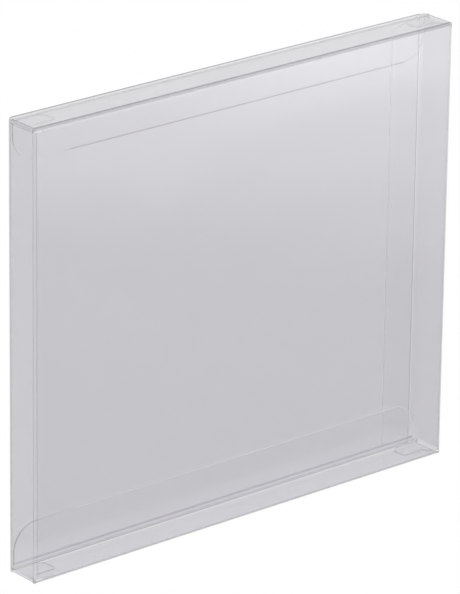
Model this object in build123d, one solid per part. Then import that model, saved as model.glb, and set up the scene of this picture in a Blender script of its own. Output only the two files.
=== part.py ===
from build123d import *
import os

# A clear folding box for one game case: a single creased film sheet, glued into a flat sleeve,
# with a hinged lid and tuck flap at each end. All sizes are in millimetres.
# The frame: +X across the front, +Y towards the back, +Z up, origin at the middle of the base.

# Outer size of the closed box
WIDTH = 144.5
DEPTH = 11.5
HEIGHT = 127.5

# Film and its creases
FILM = 0.3
CREASE_LEG = 0.8
BEND_R = 0.5
CREASE_REACH = 1.05
CREASE_TAIL = 0.25

# Room between layers of film that lie on each other
LAYER_GAP = 0.05
DUST_GAP = 0.1
HINGE_GAP = 0.02

# Glue flap, on the right side panel, inside the back panel
GLUE_FLAP_WIDTH = 12.6
GLUE_FLAP_SLOPE = 2.6
BACK_CUT_FROM_RIGHT = 2.4

# Lids and their tuck flaps
LID_END_INSET = 0.65
TUCK_END_INSET = 1.15
TUCK_LENGTH = 12.7
TUCK_CORNER_R = 7.5
NOTCH_LENGTH = 2.2
NOTCH_DEPTH = 0.5

# Dust flaps: the front edge steps back at a shoulder, and the tip's back corner is cut off
DUST_LENGTH = 10.2
DUST_SHOULDER = 3.4
DUST_FRONT_SETBACK = 4.2
DUST_BACK_CUT = 1.4
DUST_CORNER_R = 0.8
DUST_SLIT = 0.1
CORNER_END = 0.1

# Sizes that follow from the ones above
CREASE_LEG_INSIDE = CREASE_LEG - (2 - 2**0.5) * FILM
HALF_W = WIDTH / 2
HALF_D = DEPTH / 2
BACK_INNER_Y = HALF_D - FILM
GLUE_INNER_Y = HALF_D - 2 * FILM
TUCK_OUTER_Y = GLUE_INNER_Y - LAYER_GAP
DUST_PLANE = FILM + DUST_GAP
SIDE_END = DUST_PLANE + CREASE_REACH
CREASE_END = CREASE_REACH + CREASE_TAIL
CREASE_LINE = CREASE_END + HINGE_GAP
DUST_LOW_Y = -HALF_D + CREASE_REACH
DUST_HIGH_Y = TUCK_OUTER_Y - CREASE_REACH


def corners_cut(points, leg):
    """The points of the line, with each corner between its ends cut off flat."""
    line = [Vector(point) for point in points]
    cut = [line[0]]
    for before, here, after in zip(line, line[1:], line[2:]):
        cut.append(here + (before - here).normalized() * leg)
        cut.append(here + (after - here).normalized() * leg)
    cut.append(line[-1])
    return cut


def strip(outer_points, inner_points):
    """A face one film thick. Each crease in it is a narrow flat between two tight bends."""
    outer_line = corners_cut(outer_points, CREASE_LEG)
    inner_line = corners_cut(inner_points, CREASE_LEG_INSIDE)
    outer = FilletPolyline(*outer_line, radius=BEND_R)
    inner = FilletPolyline(*inner_line, radius=BEND_R - FILM)
    start = Line(outer @ 0, inner @ 0)
    end = Line(outer @ 1, inner @ 1)
    return make_face([*outer.edges(), *inner.edges(), start, end])


def flat_shape(points):
    """A face inside the closed line through the points."""
    return make_face(Polyline(*points, close=True))


def upside_down(solid):
    """The same shape at the box's other end."""
    return mirror(solid, about=Plane.XY.offset(HEIGHT / 2))


def room(low, high):
    """A block between two corners, to be cut out of the film."""
    size = [b - a for a, b in zip(low, high)]
    middle = [(a + b) / 2 for a, b in zip(low, high)]
    return Pos(*middle) * Box(*size)


def wall_ring():
    """Left, front and right panels with the four upright creases, as one strip of film.

    Its ends are cut back for the lids' front creases and for the dust flaps' creases.
    """
    outer = [
        (-HALF_W + CREASE_END, HALF_D),
        (-HALF_W, HALF_D),
        (-HALF_W, -HALF_D),
        (HALF_W, -HALF_D),
        (HALF_W, BACK_INNER_Y),
        (HALF_W - CREASE_END, BACK_INNER_Y),
    ]
    inner = [
        (-HALF_W + CREASE_END, HALF_D - FILM),
        (-HALF_W + FILM, HALF_D - FILM),
        (-HALF_W + FILM, -HALF_D + FILM),
        (HALF_W - FILM, -HALF_D + FILM),
        (HALF_W - FILM, GLUE_INNER_Y),
        (HALF_W - CREASE_END, GLUE_INNER_Y),
    ]
    face = Plane.XY.offset(CORNER_END) * strip(outer, inner)
    ring = extrude(face, amount=HEIGHT - 2 * CORNER_END)
    lid_half = HALF_W - LID_END_INSET + LAYER_GAP
    lid_back = -HALF_D + CREASE_END
    low_y = DUST_LOW_Y - DUST_SLIT
    high_y = DUST_HIGH_Y + DUST_SLIT
    rooms = [room((-lid_half, -HALF_D - 1, -1), (lid_half, lid_back, CREASE_LINE))]
    for side in (-1, 1):
        x_low, x_high = sorted((side * (HALF_W - CREASE_END), side * (HALF_W + 1)))
        rooms.append(room((x_low, low_y, -1), (x_high, high_y, SIDE_END)))
    for space in rooms:
        ring -= space
        ring -= upside_down(space)
    return ring


def upright_plate(points, y_inner):
    """A flat piece of film in the plane of the front or back panel. The points are (x, z)."""
    face = Plane.XZ.offset(-y_inner) * flat_shape(points)
    return extrude(face, amount=-FILM)


def back_panel():
    """The back panel, whose right cut edge leaves part of the glue flap bare."""
    left = -HALF_W + CREASE_REACH
    right = HALF_W - BACK_CUT_FROM_RIGHT
    points = [
        (left, 0),
        (right, 0),
        (right, HEIGHT),
        (left, HEIGHT),
    ]
    return upright_plate(points, BACK_INNER_Y)


def glue_flap():
    """The glue flap lies against the inside of the back panel. Its ends slope away there."""
    fold = HALF_W - CREASE_REACH
    bare = HALF_W - BACK_CUT_FROM_RIGHT
    free = HALF_W - GLUE_FLAP_WIDTH
    low_fold = CORNER_END
    low_free = CORNER_END + GLUE_FLAP_SLOPE
    points = [
        (bare, low_fold),
        (fold, low_fold),
        (fold, HEIGHT - low_fold),
        (bare, HEIGHT - low_fold),
        (free, HEIGHT - low_free),
        (free, low_free),
    ]
    return upright_plate(points, GLUE_INNER_Y)


def dust_flap(side):
    """A bottom dust flap with its crease. side is -1 at the left and 1 at the right."""
    low_y = DUST_LOW_Y
    high_y = DUST_HIGH_Y
    z_low = DUST_PLANE
    edge = side * HALF_W
    fold = side * (HALF_W - CREASE_REACH)
    top = SIDE_END + CREASE_TAIL
    end = side * (HALF_W - CREASE_END)
    outer = [(edge, top), (edge, z_low), (end, z_low)]
    inner_x = side * (HALF_W - FILM)
    inner = [(inner_x, top), (inner_x, z_low + FILM), (end, z_low + FILM)]
    crease_face = Plane.XZ.offset(-high_y) * strip(outer, inner)
    crease = extrude(crease_face, amount=high_y - low_y)
    shoulder = side * (HALF_W - DUST_SHOULDER)
    tip = side * (HALF_W - DUST_LENGTH)
    back_tip = side * (HALF_W - DUST_LENGTH + DUST_BACK_CUT)
    tip_front = -HALF_D + DUST_FRONT_SETBACK
    outline = flat_shape(
        [
            (fold, low_y),
            (shoulder, tip_front),
            (tip, tip_front),
            (tip, high_y - DUST_BACK_CUT),
            (back_tip, high_y),
            (fold, high_y),
        ]
    )
    corners = [v for v in outline.vertices() if side * v.X < side * fold - 0.1]
    outline = fillet(corners, radius=DUST_CORNER_R)
    flap = extrude(Plane.XY.offset(z_low) * outline, amount=FILM)
    return crease + flap


def sleeve():
    """Everything that stays still when a lid opens, as one piece of film."""
    body = wall_ring() + back_panel() + glue_flap()
    for side in (-1, 1):
        flap = dust_flap(side)
        body += flap
        body += upside_down(flap)
    return body


def bottom_lid():
    """The bottom lid with the lower half of its front crease and its tuck crease."""
    half = HALF_W - LID_END_INSET
    front = -HALF_D
    outer = [
        (front, CREASE_END),
        (front, 0),
        (TUCK_OUTER_Y, 0),
        (TUCK_OUTER_Y, CREASE_END),
    ]
    inner = [
        (front + FILM, CREASE_END),
        (front + FILM, FILM),
        (TUCK_OUTER_Y - FILM, FILM),
        (TUCK_OUTER_Y - FILM, CREASE_END),
    ]
    face = Plane.YZ.offset(-half) * strip(outer, inner)
    lid = extrude(face, amount=2 * half)
    notch_z = CREASE_END - NOTCH_DEPTH / 2
    for side in (-1, 1):
        x = side * (half - NOTCH_LENGTH / 2)
        lid -= Pos(x, front, notch_z) * Box(NOTCH_LENGTH, 2 * FILM, NOTCH_DEPTH)
        x_low, x_high = sorted((side * (HALF_W - TUCK_END_INSET), side * (HALF_W + 1)))
        lid -= room((x_low, TUCK_OUTER_Y - CREASE_REACH, -1), (x_high, HALF_D, CREASE_END + 1))
    return lid


def bottom_tuck_flap():
    """The tuck flap stands inside the back panel. Its two free corners are round."""
    half = HALF_W - TUCK_END_INSET
    points = [
        (-half, CREASE_LINE),
        (half, CREASE_LINE),
        (half, TUCK_LENGTH),
        (-half, TUCK_LENGTH),
    ]
    outline = flat_shape(points)
    corners = [v for v in outline.vertices() if v.Y > TUCK_LENGTH / 2]
    outline = fillet(corners, radius=TUCK_CORNER_R)
    face = Plane.XZ.offset(-(TUCK_OUTER_Y - FILM)) * outline
    return extrude(face, amount=-FILM)


lower_lid = bottom_lid()
lower_tuck = bottom_tuck_flap()
pieces = {
    "sleeve": sleeve(),
    "bottom_lid": lower_lid,
    "bottom_tuck_flap": lower_tuck,
    "top_lid": upside_down(lower_lid),
    "top_tuck_flap": upside_down(lower_tuck),
}

os.makedirs("parts", exist_ok=True)
for name, piece in pieces.items():
    export_step(piece, f"parts/{name}.step")
    print(name, round(piece.volume, 2), "mm3", piece.bounding_box())
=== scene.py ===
import math

import bmesh
import bpy
from mathutils import Matrix, Vector


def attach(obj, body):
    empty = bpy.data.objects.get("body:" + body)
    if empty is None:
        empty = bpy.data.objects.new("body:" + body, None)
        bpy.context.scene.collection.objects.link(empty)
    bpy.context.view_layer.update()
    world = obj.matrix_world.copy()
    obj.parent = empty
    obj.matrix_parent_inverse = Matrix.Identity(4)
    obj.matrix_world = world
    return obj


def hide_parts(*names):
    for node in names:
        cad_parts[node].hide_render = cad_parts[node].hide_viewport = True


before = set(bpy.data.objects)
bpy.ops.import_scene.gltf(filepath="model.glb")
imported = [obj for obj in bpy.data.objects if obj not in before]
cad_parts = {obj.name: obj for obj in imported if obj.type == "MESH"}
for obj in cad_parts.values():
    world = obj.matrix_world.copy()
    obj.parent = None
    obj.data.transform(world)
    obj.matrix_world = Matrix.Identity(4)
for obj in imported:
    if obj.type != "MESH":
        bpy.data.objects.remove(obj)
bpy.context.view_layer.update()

# Box sizes, in millimetres, as in the part's source
WIDTH = 144.5
DEPTH = 11.5
HEIGHT = 127.5
FILM = 0.3
CREASE_LEG = 0.8
BEND_R = 0.5
CREASE_REACH = 1.05
CREASE_TAIL = 0.25
LAYER_GAP = 0.05
DUST_GAP = 0.1
HINGE_GAP = 0.02
GLUE_FLAP_WIDTH = 12.6
GLUE_FLAP_SLOPE = 2.6
BACK_CUT_FROM_RIGHT = 2.4
LID_END_INSET = 0.65
TUCK_END_INSET = 1.15
TUCK_LENGTH = 12.7
TUCK_CORNER_R = 7.5
NOTCH_LENGTH = 2.2
NOTCH_DEPTH = 0.5
DUST_LENGTH = 10.2
DUST_SHOULDER = 3.4
DUST_FRONT_SETBACK = 4.2
DUST_BACK_CUT = 1.4
DUST_CORNER_R = 0.8
DUST_SLIT = 0.1
CORNER_END = 0.1

# Sizes that follow from the ones above. The mesh is drawn about the film's middle line.
HALF_W = WIDTH / 2
HALF_D = DEPTH / 2
MID = FILM / 2
MID_LEG = CREASE_LEG - (2 - 2**0.5) * MID
MID_R = BEND_R - MID
BACK_INNER_Y = HALF_D - FILM
GLUE_INNER_Y = HALF_D - 2 * FILM
TUCK_OUTER_Y = GLUE_INNER_Y - LAYER_GAP
DUST_PLANE = FILM + DUST_GAP
SIDE_END = DUST_PLANE + CREASE_REACH
CREASE_END = CREASE_REACH + CREASE_TAIL
CREASE_LINE = CREASE_END + HINGE_GAP
NOTCH_Z = CREASE_END - NOTCH_DEPTH
DUST_LOW_Y = -HALF_D + CREASE_REACH
DUST_HIGH_Y = TUCK_OUTER_Y - CREASE_REACH
SLIT_LOW_Y = DUST_LOW_Y - DUST_SLIT
SLIT_HIGH_Y = DUST_HIGH_Y + DUST_SLIT
FRONT_ROOM = LID_END_INSET - LAYER_GAP

# Panels, in the order in which the walls' path meets them
BACK, LEFT, FRONT, RIGHT, GLUE_FLAP = range(5)

# Small sizes that only the film's look needs. RIM is the width of strips with painted shade along cut
# edges, and END_RIM that of a strip with a painted highlight at a tuck flap's right end.
GLUE_REST = 0.02
MITRE = 0.21
RIM = 0.25
END_RIM = 0.35
FOLD_LINE = (1.6, 2.3)

# Fineness of the meshes
BEND_STEPS = 4
DUST_TIP_STEPS = 16
DUST_TIP_REACH = 1.5 * DUST_BACK_CUT
TUCK_ROUND_STEPS = 18
WALL_ROWS = 26
LID_COLUMNS = 30
DUST_COLUMNS = 8
COLUMN = 5.0
PANEL_END = 0.08
SHORT_PANEL = 1.0
NEAR = 0.004
LEAST_SHARE = 0.001
SHARP_DEG = 35

# How near counts as the same place
CLOSE_PAIR = 0.02
SAME_PLACE = 0.05
NOTCH_MARGIN = 0.1
TINY = 1e-6

# Metres in a millimetre, and how near points are welded, in metres
MM = 0.001
WELD = 2e-7

# Columns at the left where a tuck flap's rim, the strip along its free edge that can take painted
# shade, looks like the rest of it
PLAIN_RIM_COLUMNS = 3

# Camera: at the photograph's viewing angle, fitted to the closed box's eight corners
CAMERA_AT = (-0.80304, -0.95102, 0.54467)
CAMERA_RIGHT = (0.767689, -0.640698, 0.012664)
CAMERA_DOWN = (-0.222331, -0.284829, -0.932438)
CAMERA_AHEAD = (0.601018, 0.713007, -0.361107)
LENS_MM = 300.425
SENSOR_MM = 36.0
CLIP_M = (0.05, 20.0)

# Lamps: place, size in metres and power in watts. Each looks at the same point.
LAMPS = {
    "key": ((-0.9, -0.7, 1.4), 1.0, 14),
    "fill": ((0.7, -1.3, 0.9), 1.2, 8),
}
LAMP_AIM = (0, 0, 0.06)
WORLD_LIGHT = 0.6

# Share of light that one face of the film passes
WALL_TINT = (0.916, 0.913, 0.926, 1.0)
# Painted shade and light: the side panels take darker copies of the wall's tint, and the lids lighter
# ones, for how the light falls on each panel.
SHADED_SIDE_TINT = (0.886, 0.883, 0.897, 1.0)
LIT_TOP_LID_TINT = (0.930, 0.928, 0.936, 1.0)
LIT_BOTTOM_LID_TINT = (0.953, 0.950, 0.959, 1.0)
SHADED_RIGHT_TINT = (0.902, 0.898, 0.912, 1.0)
# Painted shade and light along the folds: bends, creases and fold lines take darker tints, and some
# crease flats lighter ones, for the dark and light lines that light makes where the film bends.
BEND_TINT = (0.845, 0.845, 0.855, 1.0)
CREASE_FLAT_TINT = (0.93, 0.93, 0.935, 1.0)
OUTLINE_TINT = (0.64, 0.64, 0.65, 1.0)
SIDE_CREASE_TINT = (0.68, 0.68, 0.69, 1.0)
DUST_CREASE_TINT = (0.82, 0.82, 0.83, 1.0)
DARK_CREASE_TINT = (0.81, 0.81, 0.825, 1.0)
DARK_BEND_TINT = (0.53, 0.53, 0.545, 1.0)
FLAP_TINT = (0.998, 0.998, 0.998, 1.0)
LINE_TINT = (0.88, 0.88, 0.89, 1.0)
FAINT_TINT = (0.95, 0.95, 0.955, 1.0)
FOLD_LINE_TINT = (0.88, 0.88, 0.89, 1.0)
# Painted shade: darker strips along cut edges, for the dark lines there
FLAP_RIM_SHADE_TINT = (0.885, 0.885, 0.895, 1.0)
RIM_SHADE_TINT = (0.72, 0.72, 0.73, 1.0)
SHADOW_TINT = (0.97, 0.97, 0.97, 1.0)
MOST_FACES_IN_LINE = 64

# The film's own colour and shine. The waves tilt the shine, and the fine noise makes it uneven.
FILM_COLOUR = (0.87, 0.86, 0.89, 1.0)
FILM_IOR = 1.57
ROUGHNESS = (0.04, 0.11)
MIRROR_AHEAD = 0.072
MIRROR_POWER = 5.0
WAVE_SCALE = 22.0
WAVE_DETAIL = 1.0
WAVE_STRENGTH = 0.6
WAVE_DEPTH = 0.001
FINE_SCALE = 350.0
FINE_DETAIL = 4.0
FINE_RANGE = (0.35, 0.7)

# Cut edges of the film, whose tones paint the dark lines and glints that light gives them. The tones
# are pairs: how far across the box, and how bright.
TUCK_TONES = ((0.06, 0.25), (0.1, 0.75), (0.14, 0.6), (0.22, 0.3), (0.99, 0.26), (1.0, 0.6))
GLINT_TONES = ((0.07, 0.25), (0.12, 0.5), (0.22, 0.9), (0.6, 1.0))
EDGE_ROUGHNESS = 0.35
EDGE_NOISE_SCALE = 160.0
EDGE_DETAIL = 2.0
EDGE_UNEVEN = 0.1

# Painted reflection: tones that the floor glows with for mirrored rays only, which the film shows as a
# grey band: (metres in front of the box and to its right, tone)
PAINTED_REFLECTION_TONES = (
    (0.15, 0.15),
    (0.2, 0.19),
    (0.29, 0.19),
    (0.33, 0.28),
    (0.36, 0.42),
    (0.385, 0.5),
    (0.426, 0.74),
    (0.488, 0.88),
    (0.527, 1.13),
    (0.56, 1.45),
    (0.6, 1.8),
)
PAINTED_REFLECTION_BEHIND = 0.9
PAINTED_REFLECTION_MOST = 1.8
BEHIND_FROM = (-0.006, 0.004)

# The floor, in metres
FLOOR_REACH = 4.0
FLOOR_DROP = 0.0001
FLOOR_COLOUR = (0.93, 0.93, 0.93, 1)
FLOOR_WHITE = 0.98
# Noise that makes the edge of the painted reflection wavy
REFLECTION_NOISE_SCALE = 9.0
REFLECTION_DETAIL = 1.0
REFLECTION_WAVE = 0.06
WHITE = (1, 1, 1, 1)


def folded(points):
    """The film's middle line through 2D points, and what each stretch of it is.

    Each corner becomes a crease: a narrow flat between two tight bends.
    """
    cut = [(Vector(points[0]), None)]
    for k in range(1, len(points) - 1):
        here = Vector(points[k])
        back = (Vector(points[k - 1]) - here).normalized()
        ahead = (Vector(points[k + 1]) - here).normalized()
        cut.append((here + back * MID_LEG, k - 1))
        cut.append((here + ahead * MID_LEG, k - 1))
    cut.append((Vector(points[-1]), None))
    line = [cut[0][0]]
    kinds = []
    for k in range(1, len(cut) - 1):
        here, corner = cut[k]
        back = (cut[k - 1][0] - here).normalized()
        ahead = (cut[k + 1][0] - here).normalized()
        turn = math.pi - back.angle(ahead)
        reach = MID_R * math.tan(turn / 2)
        centre = here + (back + ahead).normalized() * (MID_R / math.cos(turn / 2))
        first = here + back * reach - centre
        last = here + ahead * reach - centre
        inside = cut[k - 1][1] == corner
        line.append(centre + first)
        kinds.append(("flat", corner) if inside else ("panel", k // 2))
        for n in range(1, BEND_STEPS + 1):
            f = n / BEND_STEPS
            line.append(centre + (first * (1 - f) + last * f).normalized() * MID_R)
            kinds.append(("bend", corner))
    line.append(cut[-1][0])
    kinds.append(("panel", len(cut) // 2 - 1))
    return line, kinds


def refined(line, kinds):
    """Adds points along the panels, close to their ends too, so that shading stays within each."""
    out = [line[0]]
    out_kinds = []
    for a, b, kind in zip(line, line[1:], kinds):
        length = (b - a).length
        stops = []
        if kind[0] == "panel" and length > SHORT_PANEL:
            count = max(1, round(length / COLUMN))
            stops.append(PANEL_END / length)
            stops.extend(k / count for k in range(1, count))
            stops.append(1 - PANEL_END / length)
        for stop in stops:
            out.append(a.lerp(b, stop))
            out_kinds.append(kind)
        out.append(b)
        out_kinds.append(kind)
    return out, out_kinds


def with_steps(line, kinds, places):
    """Adds a close pair of points wherever a measure of the line crosses one of the places."""
    for measure, place in places:
        out = [line[0]]
        out_kinds = []
        for a, b, kind in zip(line, line[1:], kinds):
            at_a = measure(a)
            at_b = measure(b)
            measured = at_a is not None and at_b is not None
            if measured and (at_a - place) * (at_b - place) < 0:
                f = (place - at_a) / (at_b - at_a)
                step = NEAR / (b - a).length
                out.append(a.lerp(b, max(f - step, LEAST_SHARE)))
                out.append(a.lerp(b, min(f + step, 1 - LEAST_SHARE)))
                out_kinds += [kind, kind]
            out.append(b)
            out_kinds.append(kind)
        line = out
        kinds = out_kinds
    return line, kinds


def ways_across(line):
    """A unit vector across the line at each point, to its left."""
    out = []
    for k in range(len(line)):
        before = line[max(k - 1, 0)]
        after = line[min(k + 1, len(line) - 1)]
        if 0 < k < len(line) - 1:
            ahead = ((line[k] - before).normalized() + (after - line[k]).normalized()).normalized()
        else:
            ahead = (after - before).normalized()
        out.append(Vector((-ahead.y, ahead.x)))
    return out


def film_grid(bm, points, ways, face_slot, border_slot):
    """Film about a grid of points on its middle surface.

    face_slot(i, j) gives a face's material. border_slot(side, k) gives that of a cut edge,
    or None where the film goes on.
    """
    rows = len(points)
    cols = len(points[0])
    layers = []
    for sign in (1, -1):
        layer = []
        for point_row, way_row in zip(points, ways):
            row = []
            for point, way in zip(point_row, way_row):
                row.append(bm.verts.new((point + way * (sign * MID)) * MM))
            layer.append(row)
        layers.append(layer)
    top, low = layers
    for i in range(rows - 1):
        for j in range(cols - 1):
            slot = face_slot(i, j)
            one = bm.faces.new((top[i][j], top[i + 1][j], top[i + 1][j + 1], top[i][j + 1]))
            two = bm.faces.new((low[i][j], low[i][j + 1], low[i + 1][j + 1], low[i + 1][j]))
            one.material_index = slot
            two.material_index = slot
    borders = []
    for i in range(rows - 1):
        borders.append(("first_col", i, (i, 0), (i + 1, 0)))
        borders.append(("last_col", i, (i, cols - 1), (i + 1, cols - 1)))
    for j in range(cols - 1):
        borders.append(("first_row", j, (0, j), (0, j + 1)))
        borders.append(("last_row", j, (rows - 1, j), (rows - 1, j + 1)))
    for side, k, a, b in borders:
        slot = border_slot(side, k)
        if slot is None:
            continue
        face = bm.faces.new((top[a[0]][a[1]], top[b[0]][b[1]], low[b[0]][b[1]], low[a[0]][a[1]]))
        face.material_index = slot


def numbers_of(slots):
    """The place of each named material in its piece."""
    return {name: k for k, name in enumerate(slots)}


def mesh_piece(bm, name, slots):
    """An object of the finished mesh, with its materials and its sharp edges."""
    bmesh.ops.remove_doubles(bm, verts=bm.verts, dist=WELD)
    bmesh.ops.recalc_face_normals(bm, faces=bm.faces)
    mesh = bpy.data.meshes.new(name)
    bm.to_mesh(mesh)
    bm.free()
    for material in slots.values():
        mesh.materials.append(material)
    mesh.shade_smooth()
    mesh.set_sharp_from_angle(angle=math.radians(SHARP_DEG))
    piece = bpy.data.objects.new(name, mesh)
    bpy.context.scene.collection.objects.link(piece)
    return piece


def share(value, low, high):
    """How far the value is from low to high, kept between 0 and 1."""
    return min(max((value - low) / (high - low), 0.0), 1.0)


def on_glue_flap(p):
    """Whether a point of the walls' path is on the glue flap."""
    return GLUE_INNER_Y < p.y < BACK_INNER_Y and p.x > 0


def on_side(p):
    """Whether a point of the walls' path is on a side panel."""
    return HALF_W - abs(p.x) < FILM


def wall_end(p):
    """How far from the box's ends the wall stops at a point of its path."""
    inward = HALF_W - abs(p.x)
    if p.y > BACK_INNER_Y:
        return 0.0 if p.x > -HALF_W + CREASE_REACH else CORNER_END
    if p.y > GLUE_INNER_Y and p.x > 0 and inward > CREASE_REACH:
        return CORNER_END + GLUE_FLAP_SLOPE * share(inward, BACK_CUT_FROM_RIGHT, GLUE_FLAP_WIDTH)
    if p.y < -HALF_D + CREASE_END and inward > FRONT_ROOM:
        return CREASE_LINE
    if on_side(p) and SLIT_LOW_Y < p.y < SLIT_HIGH_Y:
        return SIDE_END
    return CORNER_END


def wall_path():
    """The walls' middle line, from the back panel's cut edge round to the glue flap's free edge."""
    back_y = HALF_D - MID
    corners = [
        (HALF_W - BACK_CUT_FROM_RIGHT, back_y),
        (-HALF_W + MID, back_y),
        (-HALF_W + MID, -HALF_D + MID),
        (HALF_W - MID, -HALF_D + MID),
        (HALF_W - MID, back_y - FILM),
        (HALF_W - GLUE_FLAP_WIDTH, back_y - FILM),
    ]
    line, kinds = refined(*folded(corners))

    def front_x(p):
        return HALF_W - abs(p.x) if p.y < 0 else None

    def back_x(p):
        return p.x if p.y > BACK_INNER_Y and p.x < 0 else None

    def glue_x(p):
        return HALF_W - p.x if on_glue_flap(p) else None

    def side_y(p):
        return p.y if on_side(p) else None

    places = [
        (front_x, FRONT_ROOM),
        (back_x, -HALF_W + CREASE_REACH),
        (glue_x, BACK_CUT_FROM_RIGHT),
        (side_y, SLIT_LOW_Y),
        (side_y, SLIT_HIGH_Y),
    ]
    line, kinds = with_steps(line, kinds, places)
    return with_dust_columns(line, kinds)


def dust_ys():
    """Where the columns of a dust flap meet its side panel."""
    span = DUST_HIGH_Y - DUST_LOW_Y
    return [DUST_LOW_Y + span * k / DUST_COLUMNS for k in range(DUST_COLUMNS + 1)]


def with_dust_columns(line, kinds):
    """On each side panel the columns between the slits are those of the dust flaps."""
    out = [line[0]]
    out_kinds = []
    for b, kind in zip(line[1:], kinds):
        a = out[-1]
        flat = on_side(a) and on_side(b) and abs(a.y) < HALF_D - CREASE_REACH
        between = flat and SLIT_LOW_Y < b.y < SLIT_HIGH_Y
        at_slit = abs(b.y - SLIT_HIGH_Y) < SAME_PLACE or abs(b.y - SLIT_LOW_Y) < SAME_PLACE
        if between and not at_slit:
            continue
        if between and abs(b.y - a.y) > SHORT_PANEL:
            ys = dust_ys()
            if b.y < a.y:
                ys.reverse()
            for y in ys:
                out.append(Vector((b.x, y)))
                out_kinds.append(("panel", LEFT if b.x < 0 else RIGHT))
        out.append(b)
        out_kinds.append(kind)
    return out, out_kinds


def make_sleeve(slots):
    """The still film: walls, glue flap and dust flaps, as one skin."""
    line, kinds = wall_path()
    number = numbers_of(slots)
    points = []
    ways = []
    for p, way in zip(line, ways_across(line)):
        end = wall_end(p)
        levels = [end + (HEIGHT - 2 * end) * j / WALL_ROWS for j in range(WALL_ROWS + 1)]
        levels.insert(WALL_ROWS, HEIGHT - end - RIM)
        under_back = on_glue_flap(p) and HALF_W - p.x > BACK_CUT_FROM_RIGHT
        y = p.y - GLUE_REST if under_back else p.y
        points.append([Vector((p.x, y, z)) for z in levels])
        ways.append([Vector((-way.x, -way.y, 0))] * len(levels))

    def face_slot(i, j):
        kind, place = kinds[i]
        # Bends and crease flats take films with painted shade or light along the fold
        if kind == "flat":
            return number[("side_crease", "crease_flat", "crease_flat", "wall")[place]]
        if kind == "bend":
            return number[("side_crease", "bend", "bend", "back_bend")[place]]
        bare = place == GLUE_FLAP and HALF_W - line[i].x < BACK_CUT_FROM_RIGHT
        # A thin strip along the top cut edge of the back panel takes painted shade, a dark line
        if j == WALL_ROWS and (place == BACK or bare):
            return number["rim"]
        if place == GLUE_FLAP:
            return number["wall" if bare else "flap"]
        return number[{BACK: "wall", LEFT: "side", FRONT: "wall", RIGHT: "right"}[place]]

    def border_slot(side, k):
        if side == "first_row":
            return number["back_cut"]
        if side == "last_row":
            return number["glue_cut"]
        a = line[k]
        b = line[k + 1]
        at_side = on_side(a) and on_side(b)
        if at_side and DUST_LOW_Y - TINY <= min(a.y, b.y) and max(a.y, b.y) <= DUST_HIGH_Y + TINY:
            return None
        if max(wall_end(a), wall_end(b)) > CREASE_END and max(a.y, b.y) < 0 and not at_side:
            at_notch = HALF_W - abs(a.x) < LID_END_INSET + NOTCH_LENGTH
            return number["notch" if at_notch else "flap"]
        if kinds[k] == ("panel", BACK):
            return number["back_end"]
        if at_side and (b - a).length < CLOSE_PAIR:
            return number["slit_cut"]
        return number["soft_cut"]

    bm = bmesh.new()
    film_grid(bm, points, ways, face_slot, border_slot)
    for side in (-1, 1):
        for upper in (False, True):
            add_dust_flap(bm, side, upper, number)
    return mesh_piece(bm, "film_sleeve", slots)


def add_dust_flap(bm, side, upper, number):
    """Rows go from the side panel to the tip. side is -1 at the left and 1 at the right."""
    z = DUST_PLANE + MID
    shoulder_x = HALF_W - DUST_SHOULDER
    tip_from = HALF_W - DUST_LENGTH + DUST_TIP_REACH
    tip_front = -HALF_D + DUST_FRONT_SETBACK

    def flap_x(p):
        return p.x

    line, kinds = refined(*folded([(HALF_W - MID, SIDE_END), (HALF_W - MID, z), (tip_from, z)]))
    line, kinds = with_steps(line, kinds, [(flap_x, shoulder_x)])
    for k in range(1, DUST_TIP_STEPS + 1):
        f = math.sin(k / DUST_TIP_STEPS * math.pi / 2)
        line.append(Vector((tip_from + (HALF_W - DUST_LENGTH - tip_from) * f, z)))
        kinds.append(("panel", 1))
    points = []
    ways = []
    for p, way in zip(line, ways_across(line)):
        inward = share(HALF_W - p.x, CREASE_REACH, DUST_SHOULDER)
        to_tip = DUST_LENGTH - (HALF_W - p.x)
        front = DUST_LOW_Y + (tip_front - DUST_LOW_Y) * inward
        back = DUST_HIGH_Y - max(DUST_BACK_CUT - to_tip, 0)
        over = max(DUST_CORNER_R - to_tip, 0)
        front += DUST_CORNER_R - math.sqrt(max(DUST_CORNER_R**2 - over**2, 0))
        height = HEIGHT - p.y if upper else p.y
        across = -way.y if upper else way.y
        row = []
        for k in range(DUST_COLUMNS + 1):
            y = front + (back - front) * k / DUST_COLUMNS
            row.append(Vector((side * p.x, y, height)))
        points.append(row)
        ways.append([Vector((side * way.x, 0, across))] * len(row))

    def face_slot(i, j):
        kind, place = kinds[i]
        # The dust flap's fold takes a film with painted shade or light
        if kind != "panel":
            return number["dust_crease" if side < 0 else "right_dust_crease"]
        return number["flap"] if place == 1 else number["side" if side < 0 else "right"]

    def border_slot(edge, k):
        return None if edge == "first_row" else number["dust_cut"]

    film_grid(bm, points, ways, face_slot, border_slot)


def row_across(half, y, z):
    """Points from left to right across the box, evenly spaced."""
    row = []
    for j in range(LID_COLUMNS + 1):
        row.append(Vector((-half + 2 * half * j / LID_COLUMNS, y, z)))
    return row


def mitre_row(points, ways, up):
    """Slants a cut edge at a tuck crease, so that its inner side has room to fold further in."""
    for point in points:
        point.z += up * MITRE / 2
    slanted = ways[0] + Vector((0, 0, -up * MITRE / FILM))
    ways[:] = [slanted] * len(ways)


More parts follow.
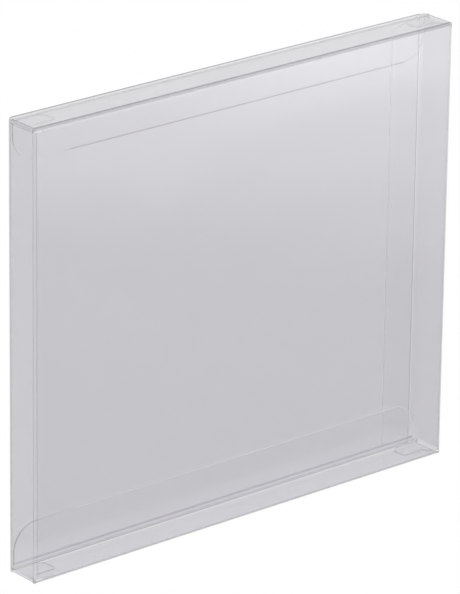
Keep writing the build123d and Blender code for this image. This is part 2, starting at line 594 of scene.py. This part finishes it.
def make_lid(upper, slots):
    """A lid from its crease on the front panel to its crease with the tuck flap."""
    corners = [
        (-HALF_D + MID, CREASE_END),
        (-HALF_D + MID, MID),
        (TUCK_OUTER_Y - MID, MID),
        (TUCK_OUTER_Y - MID, CREASE_END),
    ]

    def notch_z(p):
        return p.y if p.x < 0 else None

    line, kinds = refined(*folded(corners))
    line, kinds = with_steps(line, kinds, [(notch_z, NOTCH_Z)])
    number = numbers_of(slots)
    points = []
    ways = []
    for p, way in zip(line, ways_across(line)):
        half = HALF_W - LID_END_INSET
        if p.x < 0 and p.y > NOTCH_Z:
            half -= NOTCH_LENGTH
        height = HEIGHT - p.y if upper else p.y
        across = way.y if upper else -way.y
        row = row_across(half, p.x, height)
        points.append(row)
        ways.append([Vector((0, -way.x, across))] * len(row))
    mitre_row(points[-1], ways[-1], 1 if upper else -1)

    def face_slot(i, j):
        kind, place = kinds[i]
        upright = line[i + 1].y > line[-1].y / 2
        # The lid's bends and crease flats take films with painted shade or light along the fold
        if kind == "flat":
            return number["front_flat" if place == 0 else "tuck_flat"]
        if kind == "bend" and place == 0:
            return number["front_end" if upright else "front_bend"]
        if kind == "bend":
            return number["tuck_bend" if upright else "wall"]
        return number["tuck_end" if place == 2 else "wall"]

    def border_slot(side, k):
        if side in ("first_row", "last_row"):
            return number["tuck_end"]
        at_notch = line[k].x < 0 and line[k].y > NOTCH_Z - NOTCH_MARGIN
        return number["notch" if at_notch else "lid_cut"]

    bm = bmesh.new()
    film_grid(bm, points, ways, face_slot, border_slot)
    return mesh_piece(bm, "film_top_lid" if upper else "film_bottom_lid", slots)


def make_tuck_flap(upper, slots):
    """A tuck flap with round free corners, standing inside the back panel."""
    half = HALF_W - TUCK_END_INSET
    round_from = TUCK_LENGTH - TUCK_CORNER_R
    levels = [CREASE_LINE, *FOLD_LINE]
    for k in range(TUCK_ROUND_STEPS + 1):
        levels.append(round_from + TUCK_CORNER_R * math.sin(k / TUCK_ROUND_STEPS * math.pi / 2))
    number = numbers_of(slots)
    points = []
    ways = []
    for level in levels:
        over = max(level - round_from, 0)
        reach = half - TUCK_CORNER_R + math.sqrt(max(TUCK_CORNER_R**2 - over**2, 0))
        y = TUCK_OUTER_Y - MID
        z = HEIGHT - level if upper else level
        row = row_across(reach, y, z)
        row.insert(LID_COLUMNS, Vector((reach - END_RIM, y, z)))
        points.append(row)
        ways.append([Vector((0, 1, 0))] * len(row))
    mitre_row(points[0], ways[0], -1 if upper else 1)

    def face_slot(i, j):
        # The strip at the right end takes a painted highlight
        if j == LID_COLUMNS:
            return number["end_rim"]
        if i == 1:
            return number["fold_line"]
        # The strip along the free edge is the rim, which takes painted shade on the top tuck flap
        at_rim = TUCK_LENGTH - levels[i] < RIM + SAME_PLACE and j >= PLAIN_RIM_COLUMNS
        return number["rim" if at_rim else "flap"]

    def border_slot(side, k):
        return number["flap" if side == "first_row" else "cut"]

    bm = bmesh.new()
    film_grid(bm, points, ways, face_slot, border_slot)
    return mesh_piece(bm, "film_top_tuck" if upper else "film_bottom_tuck", slots)


def emptied_tree(owner):
    """The node tree of a material or world, with nothing in it."""
    owner.use_nodes = True
    owner.node_tree.nodes.clear()
    return owner.node_tree


def plug(tree, value, socket):
    """Sets a socket to a number, or links it to another node's output."""
    if isinstance(value, (int, float)):
        socket.default_value = value
    else:
        tree.links.new(value, socket)


def maths(tree, operation, *values):
    """The result of an operation on numbers or other nodes' outputs."""
    node = tree.nodes.new("ShaderNodeMath")
    node.operation = operation
    for value, socket in zip(values, node.inputs):
        plug(tree, value, socket)
    return node.outputs[0]


def mapped(tree, value, source, target):
    """The value, mapped from one range to another and kept within it."""
    node = tree.nodes.new("ShaderNodeMapRange")
    node.inputs["From Min"].default_value = source[0]
    node.inputs["From Max"].default_value = source[1]
    node.inputs["To Min"].default_value = target[0]
    node.inputs["To Max"].default_value = target[1]
    tree.links.new(value, node.inputs["Value"])
    return node.outputs["Result"]


def noise(tree, place, scale, detail):
    node = tree.nodes.new("ShaderNodeTexNoise")
    node.inputs["Scale"].default_value = scale
    node.inputs["Detail"].default_value = detail
    tree.links.new(place, node.inputs["Vector"])
    return node.outputs["Fac"]


def place_on_object(tree):
    """The shaded point's place in its own object's axes."""
    return tree.nodes.new("ShaderNodeTexCoord").outputs["Object"]


def axes_of(tree, place):
    node = tree.nodes.new("ShaderNodeSeparateXYZ")
    tree.links.new(place, node.inputs[0])
    return node.outputs


def tone_ramp(tree, factor, tones, most):
    """A colour ramp through pairs of place and tone, as shares of the brightest tone."""
    node = tree.nodes.new("ShaderNodeValToRGB")
    stops = node.color_ramp.elements
    stops[0].position = tones[0][0]
    stops[1].position = tones[-1][0]
    for place, tone in tones[1:-1]:
        stops.new(place)
    for stop, (place, tone) in zip(stops, tones):
        stop.color = (tone / most, tone / most, tone / most, 1)
    tree.links.new(factor, node.inputs["Fac"])
    return node.outputs["Color"]


def coloured(tree, kind, colour):
    """A shader of one colour."""
    node = tree.nodes.new(kind)
    node.inputs["Color"].default_value = colour
    return node.outputs[0]


def mixed(tree, factor, first, second):
    """All of the first shader at a factor of 0, and all of the second at 1."""
    node = tree.nodes.new("ShaderNodeMixShader")
    plug(tree, factor, node.inputs["Fac"])
    tree.links.new(first, node.inputs[1])
    tree.links.new(second, node.inputs[2])
    return node.outputs[0]


def film_material(name, tint, gloss=1.0, haze=0.03):
    """Thin clear film: it passes most light unbent, and mirrors more at a slant."""
    material = bpy.data.materials.new(name)
    tree = emptied_tree(material)
    out = tree.nodes.new("ShaderNodeOutputMaterial")
    place = place_on_object(tree)
    bump = tree.nodes.new("ShaderNodeBump")
    bump.inputs["Strength"].default_value = WAVE_STRENGTH
    bump.inputs["Distance"].default_value = WAVE_DEPTH
    tree.links.new(noise(tree, place, WAVE_SCALE, WAVE_DETAIL), bump.inputs["Height"])
    rough = mapped(tree, noise(tree, place, FINE_SCALE, FINE_DETAIL), FINE_RANGE, ROUGHNESS)
    body = tree.nodes.new("ShaderNodeBsdfPrincipled")
    body.inputs["Base Color"].default_value = FILM_COLOUR
    body.inputs["IOR"].default_value = FILM_IOR
    tree.links.new(rough, body.inputs["Roughness"])
    clear = coloured(tree, "ShaderNodeBsdfTransparent", tint)
    inner = mixed(tree, 1 - haze, body.outputs["BSDF"], clear)
    slant = tree.nodes.new("ShaderNodeLayerWeight")
    slant.inputs["Blend"].default_value = 0.5
    power = maths(tree, "POWER", slant.outputs["Facing"], MIRROR_POWER)
    mirror = mapped(tree, power, (0.0, 1.0), (MIRROR_AHEAD * gloss, gloss))
    shine = tree.nodes.new("ShaderNodeBsdfGlossy")
    tree.links.new(rough, shine.inputs["Roughness"])
    tree.links.new(bump.outputs["Normal"], shine.inputs["Normal"])
    film = mixed(tree, mirror, inner, shine.outputs["BSDF"])
    path = tree.nodes.new("ShaderNodeLightPath")
    lamp_way = coloured(tree, "ShaderNodeBsdfTransparent", SHADOW_TINT)
    last = mixed(tree, path.outputs["Is Shadow Ray"], film, lamp_way)
    tree.links.new(last, out.inputs["Surface"])
    return material


def edge_material(name, tones, opaque):
    """A cut edge of the film, with painted shade and glints. The tones are pairs: how far across the
    box, and how bright.
    """
    material = bpy.data.materials.new(name)
    tree = emptied_tree(material)
    out = tree.nodes.new("ShaderNodeOutputMaterial")
    place = place_on_object(tree)
    along = mapped(tree, axes_of(tree, place)["X"], (-HALF_W * MM, HALF_W * MM), (0.0, 1.0))
    spots = noise(tree, place, EDGE_NOISE_SCALE, EDGE_DETAIL)
    uneven = maths(tree, "MULTIPLY_ADD", spots, EDGE_UNEVEN, along)
    body = tree.nodes.new("ShaderNodeBsdfPrincipled")
    body.inputs["Roughness"].default_value = EDGE_ROUGHNESS
    tree.links.new(tone_ramp(tree, uneven, tones, 1.0), body.inputs["Base Color"])
    clear = tree.nodes.new("ShaderNodeBsdfTransparent")
    edge = mixed(tree, opaque, clear.outputs["BSDF"], body.outputs["BSDF"])
    tree.links.new(edge, out.inputs["Surface"])
    return material


def seen_factor(tree, path):
    """A factor that is 1 for what the camera sees, straight, mirrored or through film."""
    seen = maths(tree, "MAXIMUM", path.outputs["Is Camera Ray"], path.outputs["Is Glossy Ray"])
    return maths(tree, "MAXIMUM", seen, path.outputs["Is Transmission Ray"])


def add_world():
    world = bpy.data.worlds.new("studio")
    bpy.context.scene.world = world
    tree = emptied_tree(world)
    out = tree.nodes.new("ShaderNodeOutputWorld")
    path = tree.nodes.new("ShaderNodeLightPath")
    seen = coloured(tree, "ShaderNodeBackground", WHITE)
    lit = tree.nodes.new("ShaderNodeBackground")
    lit.inputs["Color"].default_value = WHITE
    lit.inputs["Strength"].default_value = WORLD_LIGHT
    sky = mixed(tree, seen_factor(tree, path), lit.outputs[0], seen)
    tree.links.new(sky, out.inputs["Surface"])


def painted_floor_reflection(tree, place):
    """Painted reflection: a glow that only mirrored rays see, in tones in front of the box, and one
    tone behind it.
    """
    axes = axes_of(tree, place)
    turned = maths(tree, "MULTIPLY_ADD", axes["Y"], -1.0, axes["X"])
    clouds = noise(tree, place, REFLECTION_NOISE_SCALE, REFLECTION_DETAIL)
    uneven = maths(tree, "MULTIPLY_ADD", clouds, REFLECTION_WAVE, turned)
    front = tone_ramp(tree, uneven, PAINTED_REFLECTION_TONES, PAINTED_REFLECTION_MOST)
    behind = mapped(tree, axes["Y"], BEHIND_FROM, (0.0, PAINTED_REFLECTION_BEHIND / PAINTED_REFLECTION_MOST))
    tone = maths(tree, "MAXIMUM", front, behind)
    glow = tree.nodes.new("ShaderNodeEmission")
    tree.links.new(maths(tree, "MULTIPLY", tone, PAINTED_REFLECTION_MOST), glow.inputs["Strength"])
    return glow.outputs[0]


def add_floor():
    """A pale floor, which the camera sees as white; for the film's mirrored rays it glows in tones of
    grey, a painted reflection.
    """
    mesh = bpy.data.meshes.new("floor")
    r = FLOOR_REACH
    mesh.from_pydata([(-r, -r, 0), (r, -r, 0), (r, r, 0), (-r, r, 0)], [], [(0, 1, 2, 3)])
    floor = bpy.data.objects.new("floor", mesh)
    bpy.context.scene.collection.objects.link(floor)
    floor.location.z = -FLOOR_DROP
    material = bpy.data.materials.new("floor")
    tree = emptied_tree(material)
    out = tree.nodes.new("ShaderNodeOutputMaterial")
    path = tree.nodes.new("ShaderNodeLightPath")
    matt = coloured(tree, "ShaderNodeBsdfDiffuse", FLOOR_COLOUR)
    seen = coloured(tree, "ShaderNodeEmission", WHITE)
    white = maths(tree, "MULTIPLY", seen_factor(tree, path), FLOOR_WHITE)
    plain = mixed(tree, white, matt, seen)
    mirrored = painted_floor_reflection(tree, place_on_object(tree))
    # Mirrored rays see the painted reflection instead of the floor
    last = mixed(tree, path.outputs["Is Glossy Ray"], plain, mirrored)
    tree.links.new(last, out.inputs["Surface"])
    mesh.materials.append(material)


def add_light(name, at, size, power):
    data = bpy.data.lights.new(name, "AREA")
    data.shape = "SQUARE"
    data.size = size
    data.energy = power
    light = bpy.data.objects.new(name, data)
    bpy.context.scene.collection.objects.link(light)
    light.location = at
    way = Vector(LAMP_AIM) - Vector(at)
    light.rotation_mode = "QUATERNION"
    light.rotation_quaternion = way.to_track_quat("-Z", "Y")


def add_camera():
    data = bpy.data.cameras.new("camera")
    data.lens = LENS_MM
    data.sensor_fit = "AUTO"
    data.sensor_width = SENSOR_MM
    data.clip_start, data.clip_end = CLIP_M
    camera = bpy.data.objects.new("camera", data)
    bpy.context.scene.collection.objects.link(camera)
    rotation = Matrix((Vector(CAMERA_RIGHT), -Vector(CAMERA_DOWN), -Vector(CAMERA_AHEAD))).transposed()
    camera.matrix_world = Matrix.Translation(Vector(CAMERA_AT)) @ rotation.to_4x4()
    bpy.context.scene.camera = camera


# Films, each for one part of the sheet. Apart from the wall and flap films, their tints paint shade or
# light: on the side panels and lids, and as lines along bends, creases and rims.
wall = film_material("wall_film", WALL_TINT)
# Painted shade and light along the folds: bent_film, dark_crease, dark_bend, line_bend, crease_flat,
# outline_bend, faint_bend, fold_line, side_crease and dust_crease
bend = film_material("bent_film", BEND_TINT)
dark_flat = film_material("dark_crease", DARK_CREASE_TINT)
dark_bend = film_material("dark_bend", DARK_BEND_TINT)
flap = film_material("flap_film", FLAP_TINT, gloss=0.1, haze=0.005)
line_bend = film_material("line_bend", LINE_TINT, gloss=0.6)
# Painted shade: darker copies of the wall film for the left and right panels
side_film = film_material("side_film", SHADED_SIDE_TINT)
right_film = film_material("right_film", SHADED_RIGHT_TINT)
crease_flat = film_material("crease_flat", CREASE_FLAT_TINT)
outline_bend = film_material("outline_bend", OUTLINE_TINT)
faint_bend = film_material("faint_bend", FAINT_TINT, gloss=0.6)
fold_line = film_material("fold_line", FOLD_LINE_TINT, gloss=0.3)
# Painted shade: dark lines along cut edges
rim_film = film_material("rim_film", RIM_SHADE_TINT)
flap_rim = film_material("flap_rim", FLAP_RIM_SHADE_TINT, gloss=0.3)
side_crease = film_material("side_crease", SIDE_CREASE_TINT, gloss=0.2)
dust_crease = film_material("dust_crease", DUST_CREASE_TINT, gloss=0.5)
# Painted light: lighter copies of the wall film for the lids
top_film = film_material("top_film", LIT_TOP_LID_TINT)
bottom_film = film_material("bottom_film", LIT_BOTTOM_LID_TINT)

# Cut edges, with painted dark lines and glints
end_cut = edge_material("end_cut", ((0.3, 0.12), (1.0, 0.3)), 0.9)
lid_cut = edge_material("lid_cut", ((0.0, 0.3), (1.0, 0.35)), 0.6)
low_lid_cut = edge_material("low_lid_cut", ((0.0, 0.35), (1.0, 0.7)), 0.7)
slit_cut = edge_material("slit_cut", ((0.0, 0.5), (1.0, 0.6)), 0.5)
notch_cut = edge_material("notch_cut", ((0.0, 0.45), (1.0, 0.45)), 0.4)
dust_cut = edge_material("dust_cut", ((0.0, 0.45), (1.0, 0.45)), 0.5)
mid_cut = edge_material("mid_cut", ((0.0, 0.5), (1.0, 0.55)), 0.7)
soft_cut = edge_material("soft_cut", ((0.0, 0.75), (1.0, 0.78)), 0.3)
# Painted glints and shade along the tuck flaps' free edges
tuck_cut = edge_material("tuck_cut", TUCK_TONES, 0.8)
glint_cut = edge_material("glint_cut", GLINT_TONES, 1.0)
# Painted highlight at the tuck flaps' right ends
glint_rim = edge_material("glint_rim", ((0.0, 1.0), (1.0, 1.0)), 0.45)

# Which material each part of a piece takes
sleeve_slots = {
    "wall": wall,
    "side": side_film,
    "right": right_film,
    "rim": rim_film,
    "bend": bend,
    "crease_flat": crease_flat,
    "back_bend": line_bend,
    "side_crease": side_crease,
    "flap": flap,
    "dust_crease": dust_crease,
    "right_dust_crease": faint_bend,
    "dust_cut": dust_cut,
    "back_cut": mid_cut,
    "glue_cut": soft_cut,
    "back_end": end_cut,
    "notch": notch_cut,
    "slit_cut": slit_cut,
    "soft_cut": soft_cut,
}
top_slots = {
    "wall": top_film,
    "front_bend": dark_bend,
    "front_flat": dark_flat,
    "front_end": bend,
    "tuck_bend": faint_bend,
    "tuck_flat": top_film,
    "tuck_end": flap,
    "lid_cut": lid_cut,
    "notch": notch_cut,
}
bottom_slots = {
    "wall": bottom_film,
    "front_bend": outline_bend,
    "front_flat": wall,
    "front_end": bend,
    "tuck_bend": line_bend,
    "tuck_flat": flap,
    "tuck_end": flap,
    "lid_cut": low_lid_cut,
    "notch": notch_cut,
}
top_tuck_slots = {
    "flap": flap,
    "fold_line": flap,
    "rim": flap_rim,
    "end_rim": glint_rim,
    "cut": tuck_cut,
}
bottom_tuck_slots = {
    "flap": flap,
    "fold_line": fold_line,
    "rim": flap,
    "end_rim": glint_rim,
    "cut": glint_cut,
}

pieces = {
    "sleeve": ("sleeve", make_sleeve(sleeve_slots)),
    "top_lid": ("top_lid", make_lid(True, top_slots)),
    "bottom_lid": ("bottom_lid", make_lid(False, bottom_slots)),
    "top_tuck_flap": ("top_tuck", make_tuck_flap(True, top_tuck_slots)),
    "bottom_tuck_flap": ("bottom_tuck", make_tuck_flap(False, bottom_tuck_slots)),
}
for node, (body, piece) in pieces.items():
    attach(piece, body)
    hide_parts(node)

add_camera()
add_world()
add_floor()
for name, (at, size, power) in LAMPS.items():
    add_light(name, at, size, power)

scene = bpy.context.scene
scene.view_settings.view_transform = "Standard"
scene.cycles.transparent_max_bounces = MOST_FACES_IN_LINE
